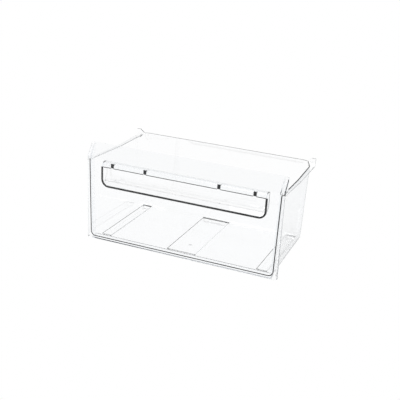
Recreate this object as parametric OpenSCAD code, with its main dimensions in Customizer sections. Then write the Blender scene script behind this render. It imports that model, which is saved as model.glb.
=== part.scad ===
// Clear freezer drawer: a drafted tub with sunken runners, a front panel with a
// leaning top band, and a finger pocket that hooks into the panel from behind.
// Widths run along X, depth along Y from the front face, height along Z from the
// runners' soles. The whole drawer is then centred on its depth.

/* [Front panel] */
// Overall width of the drawer, across the front panel
panel_w = 460; // [440:1:500]
// Wall thickness of the front panel
panel_t = 2.6; // [2.2:0.1:3]
// Height of the flat face, up to the start of the bend
face_h = 192; // [190:0.5:205]
// Length of the band above the bend, along its slope
band_l = 26.5; // [22:0.5:32]
// Angle that the band leans back from upright
band_lean = 36; // [24:1:40]
// Outer radius of the bend between face and band
bend_r = 20; // [14:1:24]
// Radius of the panel's upright side edges
edge_r = 5; // [4:0.5:6]
// Depth of the panel's side edges, measured back from the face
edge_depth = 7; // [6.5:0.5:9]
// Radius of the panel's top corners, seen from the front
top_corner_r = 7; // [4:0.5:10]
// Radius of the panel's bottom corners, seen from the front
bottom_corner_r = 3; // [2:0.5:6]
// Gap between the feet of the ribs behind the face and the tub's side walls
rib_gap = 2.1; // [1:0.1:6]
// Thickness of the ribs behind the face
rib_t = 2.4; // [1.8:0.1:3]
// Depth of the ribs, measured back from the face
rib_depth = 14; // [10:0.5:16]
// Depth of the ledge along the panel's bottom edge
ledge_depth = 17; // [12:0.5:18]
// Depth of the band's end caps, measured back from the face
cap_depth = 21; // [18:0.5:24]

/* [Tub] */
// Wall thickness of the tub
wall_t = 2.2; // [1.8:0.1:2.6]
// How far the tub's floor line stands in from the panel's sides
tub_low_in = 9; // [7:0.1:14]
// How far the tub's top edge stands in from the panel's sides
tub_high_in = 5.4; // [4:0.1:6.5]
// How far each side wall draws in towards the rear
side_taper = 4; // [0:0.5:8]
// Depth from the face to the back of the tub, at its top edge
tub_d = 246; // [240:1:400]
// How far the rear wall draws in towards the floor
rear_taper = 8; // [0:0.5:12]
// Height of the rear wall's top edge
rear_h = 193.5; // [190:0.5:196]
// How far the side rims lie below the rear wall's top edge, behind the panel
rim_front_drop = 5.5; // [4:0.5:8]
// The same at the middle of the drawer, where the rims are lowest
rim_mid_drop = 9.5; // [8:0.5:14]
// The same before the rear stops
rim_rear_drop = 7; // [5:0.5:8]
// Depth from the face to the rims' lowest point
rim_mid_y = 125; // [90:1:150]
// Radius of the tub's upright rear corners
corner_r = 25; // [20:1:30]
// Radius of the fillet between floor and walls
floor_r = 12; // [10:1:14]
// Thickness of the rims' flanges
rim_t = 2.4; // [1.8:0.1:3]
// How far the flanges stand in from the panel's sides
rim_in = 1; // [0.5:0.1:2]
// Height of the rear stops above the rear wall
stop_rise = 9; // [4:0.5:14]
// Width across the top of each rear stop
stop_w = 9.5; // [6:0.5:12]
// How far the rear stops stand in from the back of the tub
stop_in = 6; // [4:0.5:8]
// Radius of the sweep from a flange up to its stop
stop_r = 9; // [6:0.5:10]

/* [Runners] */
// Depth of the sunken runners below the floor
runner_h = 5; // [4:0.5:6]
// Half width of the middle runner's sole
mid_runner_x = 30; // [20:1:45]
// Distance from the tub's side to the outer edge of a side runner's sole
side_runner_in = 24; // [20:0.5:40]
// Width of a side runner's sole
side_runner_w = 15; // [10:0.5:24]
// Depth from the face to the front of the runners' soles
runner_front = 25; // [24:0.5:40]
// Distance from the back of the tub to the rear of the runners' soles
runner_back_in = 20; // [18:0.5:40]
// Diameter of the moulding gate's recess under the middle runner
gate_d = 9; // [6:0.5:12]
// Depth from the face to the gate
gate_y = 71; // [50:1:120]

/* [Grip] */
// Distance from the panel's sides to the grip opening
grip_in = 39.6; // [36:0.2:60]
// Height of the opening's bottom edge
grip_low = 133.5; // [125:0.5:138]
// Height of the lip above the opening
grip_high = 176; // [172:0.5:177]
// Radius of the opening's bottom corners
grip_corner_r = 14; // [8:0.5:18]
// Wall thickness of the finger pocket
pocket_t = 2; // [1.6:0.1:2.4]
// Depth of the finger pocket behind the face
pocket_depth = 22.5; // [21:0.5:25]
// Radius of the hood that rises behind the lip
hood_r = 10; // [8:0.5:11]
// Radius between the pocket's scoop and its back
scoop_r = 10; // [8:0.5:11]
// Width of the pocket's flange around the opening
flange_w = 4; // [3:0.5:6]
// Width of each hook
hook_w = 7; // [5:0.5:9]
// Distance from the middle to the inner hooks
hook_in_x = 86.4; // [60:0.2:110]
// Distance from the opening's sides to the outer hooks
hook_out_in = 23.9; // [14:0.1:40]

/* [Hidden] */

clearance = 0.2;
overlap = 1;
far = 600;
slice = 0.01;

overall_d = tub_d;
half_w = panel_w / 2;

// The panel's side outline: the band starts where the bend ends
band_y = bend_r * (1 - cos(band_lean));
band_z = face_h + bend_r * sin(band_lean);
panel_top = band_z + band_l * cos(band_lean);
bend_steps = 6;
edge_steps = 8;

// The tub's outer half widths just behind the panel
tub_low_x = half_w - tub_low_in;
tub_high_x = half_w - tub_high_in;

// The side ribs lean out with height, inside the tub's side walls as these draw in
// towards the rear, and above the fillet that joins them to the floor
side_draw = side_taper * rib_depth / (tub_d - corner_r);
rib_low_x = tub_low_x - wall_t - rib_gap;
rib_high_x = tub_high_x - wall_t - side_draw - 2 * clearance;
rib_angle = atan((rib_high_x - rib_low_x) / rear_h);
rib_top_depth = 5;
fillet_run = rib_low_x + 0.5 - tub_low_x + floor_r;
rib_foot = runner_h + floor_r + clearance - sqrt(pow(floor_r - wall_t, 2) - pow(fillet_run, 2));

// Heights of the side rims
rim_front_h = rear_h - rim_front_drop;
rim_mid_h = rear_h - rim_mid_drop;
rim_rear_h = rear_h - rim_rear_drop;
rim_start = edge_depth + clearance;
rim_x = half_w - rim_in;

// The rear stops and the sweeps that lead up to them
stop_h = rear_h + stop_rise;
stop_y = tub_d - stop_in;
sweep_y = stop_y - rim_t - stop_r;
sweep_steps = 6;

// The runners' flanks slope at 45 degrees; half that angle shifts their inner faces
flank_inset = wall_t * tan(22.5);
runner_back = tub_d - runner_back_in;
side_runner_x = tub_low_x - side_runner_in - side_runner_w;

// The gate's recess under the middle runner, and the pip left in it
gate_depth = 0.8;
pip_d = 3;
pip_h = 0.6;

// The pocket's hood rises behind the lip; its hooks pass through notches in it
grip_x = half_w - grip_in;
hook_out_x = grip_x - hook_out_in;
hook_reach = 1.2;
hook_set = 0.6;
hood_z = grip_high + 1;
pocket_top_r = 6;
scoop_rise = 22.5;

// Points on the panel's side outline, an inset in from its outer face
function bend_point(a, inset) = [
    bend_r - (bend_r - inset) * cos(a),
    face_h + (bend_r - inset) * sin(a)
];
function band_point(along, inset) = [
    band_y + along * sin(band_lean) + inset * cos(band_lean),
    band_z + along * cos(band_lean) - inset * sin(band_lean)
];

// A point on the sweep from flange to stop, seen from the side
function sweep_point(i, r) = [
    sweep_y + r * sin(90 * i / sweep_steps),
    rim_rear_h + stop_r - r * cos(90 * i / sweep_steps)
];

// Turns a side view, with depth as x and height as y, to run along X
module side_view(x0, x1) {
    translate([x0, 0, 0]) rotate([90, 0, 90]) linear_extrude(height = x1 - x0) children();
}

// Turns a front view, with width as x and height as y, to run along Y
module front_view(y0, y1) {
    translate([0, y1, 0]) rotate([90, 0, 0]) linear_extrude(height = y1 - y0) children();
}

module both_sides() {
    children();
    mirror([1, 0, 0]) children();
}

module at_hooks() {
    for (x = [-hook_out_x, -hook_in_x, hook_in_x, hook_out_x]) translate([x, 0, 0]) children();
}

// Side view of all that lies behind the panel's outer face, an inset further back
module behind_face(inset) {
    polygon([
        [inset, -far], bend_point(0, inset), bend_point(band_lean, inset),
        band_point(far, inset), [far, -far]
    ]);
    translate([bend_r, face_h]) circle(r = bend_r - inset, $fn = 128);
}

// Side view of the panel's face, bend and band, to a given depth
module face_profile(depth) {
    difference() {
        behind_face(0);
        behind_face(depth);
        translate([-far, -2 * far]) square([3 * far, 2 * far]);
        translate([band_y, band_z]) rotate(-band_lean)
            translate([-far, band_l]) square([2 * far, 2 * far]);
    }
}

// Front outline of the panel, with its corners rounded
module panel_outline() {
    difference() {
        translate([-half_w, 0]) square([panel_w, panel_top]);
        for (s = [-1, 1]) {
            translate([s * half_w, panel_top]) square(2 * top_corner_r, center = true);
            translate([s * half_w, 0]) square(2 * bottom_corner_r, center = true);
        }
    }
    for (s = [-1, 1]) {
        translate([s * (half_w - top_corner_r), panel_top - top_corner_r])
            circle(r = top_corner_r, $fn = 64);
        translate([s * (half_w - bottom_corner_r), bottom_corner_r])
            circle(r = bottom_corner_r, $fn = 64);
    }
}

// Closes the band's ends, above the front of the tub's flanges
module band_end_cap() {
    foot = rim_front_h + clearance;
    side_view(half_w - panel_t, half_w) intersection() {
        behind_face(panel_t / 2);
        polygon([
            [0, foot], [cap_depth, foot], [cap_depth + 2, panel_top - top_corner_r],
            band_point(band_l, panel_t / 2), [0, panel_top]
        ]);
    }
}

// A side rib: deep behind the face, shallow behind the band
module side_rib() {
    tip = band_l - panel_t;
    translate([rib_low_x, 0, 0]) rotate([0, rib_angle, 0]) side_view(-rib_t, 0) intersection() {
        behind_face(panel_t / 2);
        polygon([
            [0, rib_foot], [rib_depth, rib_foot], [rib_depth, face_h - rib_depth],
            band_point(tip, rib_top_depth), band_point(tip, 0), [0, panel_top]
        ]);
    }
}

// Ledge that rises from the bottom edge to carry the front of the tub's floor
module bottom_ledge() {
    top = runner_h - clearance;
    side_view(-rib_low_x, rib_low_x) polygon([
        [panel_t / 2, 0], [panel_t, 0], [ledge_depth, top - rib_t],
        [ledge_depth, top], [panel_t / 2, rib_t]
    ]);
    both_sides() side_view(rib_low_x - rib_t, rib_low_x)
        polygon([[panel_t / 2, 0], [ledge_depth - rib_t, 0], [ledge_depth, top], [panel_t / 2, top]]);
}

module panel_sheet() {
    side_view(-half_w, half_w) face_profile(panel_t);
    both_sides() {
        side_view(half_w - panel_t, half_w) face_profile(edge_depth);
        band_end_cap();
    }
}

// Section of what a rounded side edge leaves off: width as x, inset as y
function edge_section() = concat(
    [[half_w - edge_r, -overlap], [half_w + overlap, -overlap], [half_w + overlap, edge_r]],
    [for (j = [0:edge_steps]) let (a = 90 * j / edge_steps)
        [half_w - edge_r * (1 - cos(a)), edge_r * (1 - sin(a))]]
);

// Stations up the edge: below the foot, round the bend and past the band's top
function edge_station(k, inset) =
    k == 0 ? [inset, -overlap] :
    k <= bend_steps + 1 ? bend_point((k - 1) * band_lean / bend_steps, inset) :
    band_point(band_l + overlap, inset);

module edge_offcut() {
    section = edge_section();
    cols = len(section);
    rows = bend_steps + 3;
    polyhedron(
        points = [for (k = [0:rows - 1]) for (p = section)
            let (q = edge_station(k, p.y)) [p.x, q.x, q.y]],
        faces = concat(
            [[for (j = [0:cols - 1]) j], [for (j = [0:cols - 1]) rows * cols - 1 - j]],
            [for (k = [0:rows - 2]) for (j = [0:cols - 1]) let (n = (j + 1) % cols)
                [k * cols + n, k * cols + j, (k + 1) * cols + j, (k + 1) * cols + n]]
        )
    );
}

// Front outline of the grip opening, grown by a margin all round
module grip_outline(margin) {
    low = grip_low - margin;
    high = grip_high + margin;
    side = grip_x + margin;
    r = grip_corner_r + margin;
    translate([-side, low + r]) square([2 * side, high - low - r]);
    translate([-side + r, low]) square([2 * (side - r), r + overlap]);
    for (s = [-1, 1]) translate([s * (side - r), low + r]) circle(r = r, $fn = 64);
}

// Notches in the lip for the pocket's hooks
module lip_notch() {
    side = hook_w / 2 + clearance;
    translate([-side, -overlap, grip_high - overlap])
        cube([2 * side, panel_t + 2 * overlap, overlap + hook_reach + clearance]);
}

module front_panel() {
    color([0.86, 0.90, 0.94, 0.55]) difference() {
        intersection() {
            union() {
                difference() {
                    panel_sheet();
                    both_sides() edge_offcut();
                }
                both_sides() side_rib();
                bottom_ledge();
            }
            front_view(-overlap, far) panel_outline();
        }
        front_view(-overlap, rib_depth) grip_outline(0);
        at_hooks() lip_notch();
    }
}

// A rounded rear corner of the tub's foot, with the floor's fillet round it
module rear_foot(x, y, z, r, foot_r) {
    translate([x - r, y - r, z + foot_r]) rotate_extrude($fn = 64) intersection() {
        translate([r - foot_r, 0]) circle(r = foot_r, $fn = 48);
        translate([0, -foot_r]) square([r, foot_r]);
    }
}

// Corners of one side of the tub's solid shape, an inset in from the outer faces
module tub_corners(inset, front, top) {
    low = tub_low_x - inset;
    high = tub_high_x - inset;
    foot = runner_h + inset;
    foot_r = floor_r - inset;
    r = corner_r - inset;
    translate([low - foot_r, front, foot + foot_r]) rotate([-90, 0, 0])
        cylinder(r = foot_r, h = slice, $fn = 48);
    translate([high - slice, front, top - slice]) cube(slice);
    rear_foot(low - side_taper, tub_d - rear_taper - inset, foot, r, foot_r);
    translate([high - side_taper - r, tub_d - inset - r, top - slice])
        cylinder(r = r, h = slice, $fn = 64);
}

module tub_solid(inset, front, top) {
    hull() {
        tub_corners(inset, front, top);
        mirror([1, 0, 0]) tub_corners(inset, front, top);
    }
}

// A runner's trough: a box whose flanks all slope outwards at 45 degrees
module trough(x0, x1, y0, y1, h) {
    intersection() {
        front_view(y0 - h, y1 + h) polygon([[x0, 0], [x1, 0], [x1 + h, h], [x0 - h, h]]);
        side_view(x0 - h, x1 + h) polygon([[y0, 0], [y1, 0], [y1 + h, h], [y0 - h, h]]);
    }
}

module runners(inset) {
    y0 = runner_front + inset;
    y1 = runner_back - inset;
    h = runner_h + slice;
    trough(-mid_runner_x + inset, mid_runner_x - inset, y0, y1, h);
    both_sides() trough(side_runner_x + inset, side_runner_x + side_runner_w - inset, y0, y1, h);
}

// Side view of all that lies above a side rim
module above_rim() {
    polygon([
        [0, rim_front_h], [rim_mid_y, rim_mid_h], [sweep_y, rim_rear_h],
        [stop_y, rear_h], [stop_y, far], [0, far]
    ]);
}

// Side view of a flange, swept up at the rear into its stop
module rim_profile() {
    polygon(concat(
        [[rim_start, rim_front_h - rim_t], [rim_start, rim_front_h], [rim_mid_y, rim_mid_h]],
        [for (i = [0:sweep_steps]) sweep_point(i, stop_r)],
        [[stop_y - rim_t, stop_h], [stop_y, stop_h]],
        [for (i = [sweep_steps:-1:0]) sweep_point(i, stop_r + rim_t)],
        [[rim_mid_y, rim_mid_h - rim_t]]
    ));
}

// Front view of a flange and its stop, whose inner edge slopes to the rear wall
module rim_outline() {
    inner = tub_high_x - side_taper - corner_r / 2;
    polygon([
        [inner, 0], [rim_x, 0], [rim_x, stop_h], [rim_x - stop_w, stop_h], [inner, rear_h]
    ]);
}

module rim() {
    intersection() {
        side_view(half_w / 2, rim_x) rim_profile();
        front_view(0, far) rim_outline();
    }
}

module tub_walls() {
    difference() {
        tub_solid(0, panel_t, rear_h);
        both_sides() side_view(half_w / 2, far) above_rim();
    }
}

// The moulding gate's recess, with the pip left in it
module gate() {
    translate([0, gate_y, -overlap]) difference() {
        cylinder(d = gate_d, h = overlap + gate_depth, $fn = 48);
        translate([0, 0, overlap + gate_depth - pip_h]) cylinder(d = pip_d, h = overlap, $fn = 32);
    }
}

module drawer_tub() {
    color([0.90, 0.92, 0.93, 0.55]) difference() {
        union() {
            tub_walls();
            runners(0);
            both_sides() rim();
        }
        tub_solid(wall_t, panel_t - overlap, stop_h + overlap);
        translate([0, 0, wall_t]) runners(flank_inset);
        gate();
    }
}

// Side view of the finger pocket, drawn in from its outer faces by an inset
module pocket_profile(inset) {
    hull() {
        translate([panel_t + hood_r, hood_z]) circle(r = hood_r - inset, $fn = 64);
        translate([pocket_depth - pocket_top_r, hood_z + hood_r - pocket_top_r])
            circle(r = pocket_top_r - inset, $fn = 48);
        translate([pocket_depth - scoop_r, grip_low + scoop_rise]) circle(r = scoop_r - inset, $fn = 64);
        translate([panel_t - inset, grip_low + inset - pocket_t]) square(slice);
    }
}

// The pocket's shape between its rounded ends, starting at a given depth
module pocket_solid(inset, front) {
    side = grip_x + pocket_t - inset;
    intersection() {
        side_view(-side, side) children();
        front_view(front, pocket_depth + overlap) {
            grip_outline(pocket_t - inset);
            translate([-side, grip_high]) square([2 * side, far]);
        }
    }
}

// Flange that seats on the panel's back, beside and below the opening
module pocket_flange() {
    front_view(panel_t, panel_t + pocket_t) difference() {
        grip_outline(flange_w);
        translate([-far, grip_high]) square([2 * far, far]);
    }
}

// A block between hood and panel, with a tooth that hooks under the lip
module hook() {
    top = hood_z + hood_r;
    side_view(-hook_w / 2, hook_w / 2) {
        polygon([
            [panel_t, grip_high], [panel_t, top], [panel_t + hood_r, top],
            [panel_t + hood_r, top - pocket_t], [panel_t + pocket_t, grip_high]
        ]);
        translate([hook_set, grip_high]) square([panel_t, hook_reach]);
    }
}

module grip_pocket() {
    front_free = grip_low + 8;
    color([0.80, 0.88, 0.96, 0.6]) difference() {
        union() {
            pocket_solid(0, panel_t) pocket_profile(0);
            pocket_flange();
            at_hooks() hook();
        }
        pocket_solid(pocket_t, -overlap) {
            pocket_profile(pocket_t);
            translate([-overlap, front_free])
                square([overlap + panel_t + hood_r, grip_high - front_free]);
        }
    }
}

module centred() {
    translate([0, -overall_d / 2, 0]) children();
}

centred() drawer_tub();
centred() front_panel();
centred() grip_pocket();
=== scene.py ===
import math

import bpy
from mathutils import Matrix, Vector

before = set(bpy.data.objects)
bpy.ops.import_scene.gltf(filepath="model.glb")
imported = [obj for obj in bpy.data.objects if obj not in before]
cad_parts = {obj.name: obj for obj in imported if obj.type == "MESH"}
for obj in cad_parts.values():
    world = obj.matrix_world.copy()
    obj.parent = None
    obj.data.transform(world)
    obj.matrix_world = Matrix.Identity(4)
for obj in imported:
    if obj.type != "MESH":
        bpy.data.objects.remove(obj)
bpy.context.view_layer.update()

# Camera
# It stands in front of the drawer, to its right and above it, and looks down into
# it with a slight roll, as in the photograph.
camera_turn = math.radians(22.11)
camera_height = math.radians(20.97)
camera_roll = math.radians(3.17)
camera_distance = 1.7623
camera_aim = Vector((0.0, 0.027, 0.090))
camera_slide = Vector((-0.0137, -0.0038))
focal_px = 753.9
picture_px = 400.0
sensor_mm = 36.0

back = Vector((
    math.sin(camera_turn) * math.cos(camera_height),
    -math.cos(camera_turn) * math.cos(camera_height),
    math.sin(camera_height),
))
right = Vector((0.0, 0.0, 1.0)).cross(back).normalized()
up = back.cross(right)
rolled_right = math.cos(camera_roll) * right + math.sin(camera_roll) * up
rolled_up = -math.sin(camera_roll) * right + math.cos(camera_roll) * up
eye = camera_aim + rolled_right * camera_slide.x + rolled_up * camera_slide.y + back * camera_distance

camera = bpy.data.objects.new("camera", bpy.data.cameras.new("camera"))
bpy.context.scene.collection.objects.link(camera)
camera.data.sensor_width = sensor_mm
camera.data.lens = focal_px / picture_px * sensor_mm
camera.data.clip_start = 0.05
camera.data.clip_end = 50.0
camera.matrix_world = Matrix((
    (rolled_right.x, rolled_up.x, back.x, eye.x),
    (rolled_right.y, rolled_up.y, back.y, eye.y),
    (rolled_right.z, rolled_up.z, back.z, eye.z),
    (0.0, 0.0, 0.0, 1.0),
))
bpy.context.scene.camera = camera
bpy.context.scene.view_settings.view_transform = "Standard"


# Studio light
# A large soft box hangs overhead and a smaller one stands to the left, both turned
# to the drawer's middle.
lit_point = Vector((0.0, 0.0, 0.1))


def soft_box(name, place, width, height, watts):
    light = bpy.data.objects.new(name, bpy.data.lights.new(name, "AREA"))
    light.data.shape = "RECTANGLE"
    light.data.size = width
    light.data.size_y = height
    light.data.energy = watts
    bpy.context.scene.collection.objects.link(light)
    turn = (lit_point - Vector(place)).to_track_quat("-Z", "Y").to_matrix().to_4x4()
    light.matrix_world = Matrix.Translation(place) @ turn


soft_box("overhead_box", place=(0.2, -0.3, 1.8), width=1.6, height=1.2, watts=14.0)
soft_box("left_box", place=(-1.6, -1.0, 0.9), width=1.0, height=1.0, watts=8.0)


# Joins two shaders: the second is met by rays from the camera and through clear
# plastic, the first by all others.
def plain_to_the_eye(tree, lit_shader, seen_shader, surface_socket):
    ray = tree.nodes.new("ShaderNodeLightPath")
    seen = tree.nodes.new("ShaderNodeMath")
    seen.operation = "MAXIMUM"
    mix = tree.nodes.new("ShaderNodeMixShader")
    tree.links.new(ray.outputs["Is Camera Ray"], seen.inputs[0])
    tree.links.new(ray.outputs["Is Transmission Ray"], seen.inputs[1])
    tree.links.new(seen.outputs[0], mix.inputs["Fac"])
    tree.links.new(lit_shader.outputs[0], mix.inputs[1])
    tree.links.new(seen_shader.outputs[0], mix.inputs[2])
    tree.links.new(mix.outputs[0], surface_socket)


# Surround
# A pale, even room lights the drawer and shows in its gloss. It is plain white
# where the camera sees it, straight or through the plastic.
surround_colour = (0.80, 0.82, 0.84, 1.0)
surround_strength = 0.8
white = (1.0, 1.0, 1.0, 1.0)

world = bpy.data.worlds.new("pale_surround")
bpy.context.scene.world = world
world.use_nodes = True
tree = world.node_tree
tree.nodes.clear()
surround_out = tree.nodes.new("ShaderNodeOutputWorld")
surround = tree.nodes.new("ShaderNodeBackground")
surround.inputs["Color"].default_value = surround_colour
surround.inputs["Strength"].default_value = surround_strength
seen_surround = tree.nodes.new("ShaderNodeBackground")
seen_surround.inputs["Color"].default_value = white
seen_surround.inputs["Strength"].default_value = 1.0
plain_to_the_eye(tree, surround, seen_surround, surround_out.inputs["Surface"])


# Floor
# A white sweep just under the runners, a matte white for the light that falls on
# it and plain white to the camera.
floor_half = 3.0
floor_drop = 0.0005
floor_white = (0.9, 0.9, 0.9, 1.0)

floor_mesh = bpy.data.meshes.new("floor")
floor_mesh.from_pydata(
    [(-floor_half, -floor_half, 0.0), (floor_half, -floor_half, 0.0),
     (floor_half, floor_half, 0.0), (-floor_half, floor_half, 0.0)],
    [], [(0, 1, 2, 3)],
)
floor = bpy.data.objects.new("floor", floor_mesh)
bpy.context.scene.collection.objects.link(floor)
floor.location.z = -floor_drop

floor_paint = bpy.data.materials.new("white_sweep")
floor_paint.use_nodes = True
tree = floor_paint.node_tree
tree.nodes.clear()
floor_out = tree.nodes.new("ShaderNodeOutputMaterial")
floor_matte = tree.nodes.new("ShaderNodeBsdfDiffuse")
floor_matte.inputs["Color"].default_value = floor_white
floor_glow = tree.nodes.new("ShaderNodeEmission")
floor_glow.inputs["Color"].default_value = white
floor_glow.inputs["Strength"].default_value = 1.0
plain_to_the_eye(tree, floor_matte, floor_glow, floor_out.inputs["Surface"])
floor_mesh.materials.append(floor_paint)


# Drawer tub
# One injection moulding of clear polystyrene: floor with three sunken runners,
# rear and side walls, and rims that sweep up into the rear stops. The body has a
# faint tint, so it darkens where it is seen edge on.
body_density = 20.0
polystyrene_ior = 1.59
tub_tint = (0.80, 0.84, 0.88, 1.0)
tub_roughness = 0.03


def clear_polystyrene(name, tint, roughness):
    material = bpy.data.materials.new(name)
    material.use_nodes = True
    nodes = material.node_tree.nodes
    links = material.node_tree.links
    nodes.clear()
    out = nodes.new("ShaderNodeOutputMaterial")
    glass = nodes.new("ShaderNodeBsdfPrincipled")
    glass.inputs["Base Color"].default_value = (1.0, 1.0, 1.0, 1.0)
    glass.inputs["Roughness"].default_value = roughness
    glass.inputs["IOR"].default_value = polystyrene_ior
    glass.inputs["Transmission Weight"].default_value = 1.0
    body = nodes.new("ShaderNodeVolumeAbsorption")
    body.inputs["Color"].default_value = tint
    body.inputs["Density"].default_value = body_density
    links.new(glass.outputs[0], out.inputs["Surface"])
    links.new(body.outputs[0], out.inputs["Volume"])
    return material


def mould(node_name, plastic):
    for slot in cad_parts[node_name].material_slots:
        slot.material = plastic


mould("drawer_tub", clear_polystyrene("tub_plastic", tub_tint, tub_roughness))


# Front panel
# A second clear moulding that closes the tub's open front: flat face, leaning band,
# turned-back edges and the opening for the fingers. It is a little bluer.
panel_tint = (0.72, 0.80, 0.88, 1.0)
panel_roughness = 0.02
mould("front_panel", clear_polystyrene("panel_plastic", panel_tint, panel_roughness))


# Grip pocket
# A third clear moulding, seated on the panel's back round the opening and held by
# four hooks under its lip.
pocket_tint = (0.76, 0.83, 0.90, 1.0)
pocket_roughness = 0.02
mould("grip_pocket", clear_polystyrene("pocket_plastic", pocket_tint, pocket_roughness))
